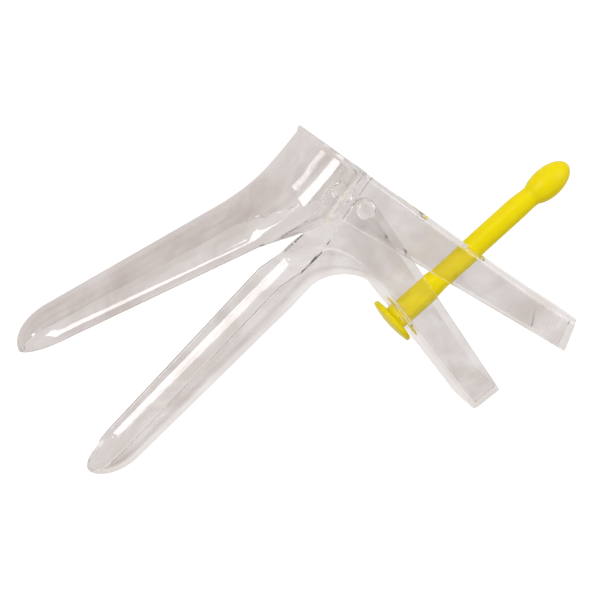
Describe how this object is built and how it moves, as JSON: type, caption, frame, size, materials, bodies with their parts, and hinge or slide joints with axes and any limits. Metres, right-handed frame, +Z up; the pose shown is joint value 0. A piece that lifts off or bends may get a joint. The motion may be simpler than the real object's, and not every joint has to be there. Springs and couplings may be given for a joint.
{
  "type": "bivalve speculum",
  "caption": "Clear two-blade speculum with channel handles that hinge at the mouth, set by a coloured locking pin through both handles.",
  "frame": {"origin": "Centre of the bounding box on the plane the part lies on, with the speculum on its side.", "axes": "+Z up, along the hinge axis and across the blades; +Y from the blades out through the mouth towards the user; +X down the upper handle."},
  "size_m": [0.1354, 0.1542, 0.0426],
  "materials": {
    "upper_clear": "clear, polished",
    "lower_clear": "clear, polished",
    "pin_yellow": "satin moulded"
  },
  "bodies": {
    "upper_valve": {"upper_valve": "upper_clear"},
    "lower_valve": {"lower_valve": "lower_clear"},
    "locking_pin": {"locking_pin": "pin_yellow"}
  },
  "joints": [
    {"name": "valve_hinge", "type": "hinge", "parent": "upper_valve", "child": "lower_valve", "pos_m": [-0.00833, 0.0315, 0.0213], "axis": [0, 0, 1], "range_deg": [-21.5, 18]},
    {"name": "pin_rock", "type": "hinge", "parent": "lower_valve", "child": "locking_pin", "pos_m": [0.02611, 0.01062, 0.0213], "axis": [0, 0, 1], "range_deg": [-10, 12]}
  ],
  "couplings": [
    {"joint": "pin_rock", "follows": "valve_hinge", "ratio": -0.55}
  ]
}
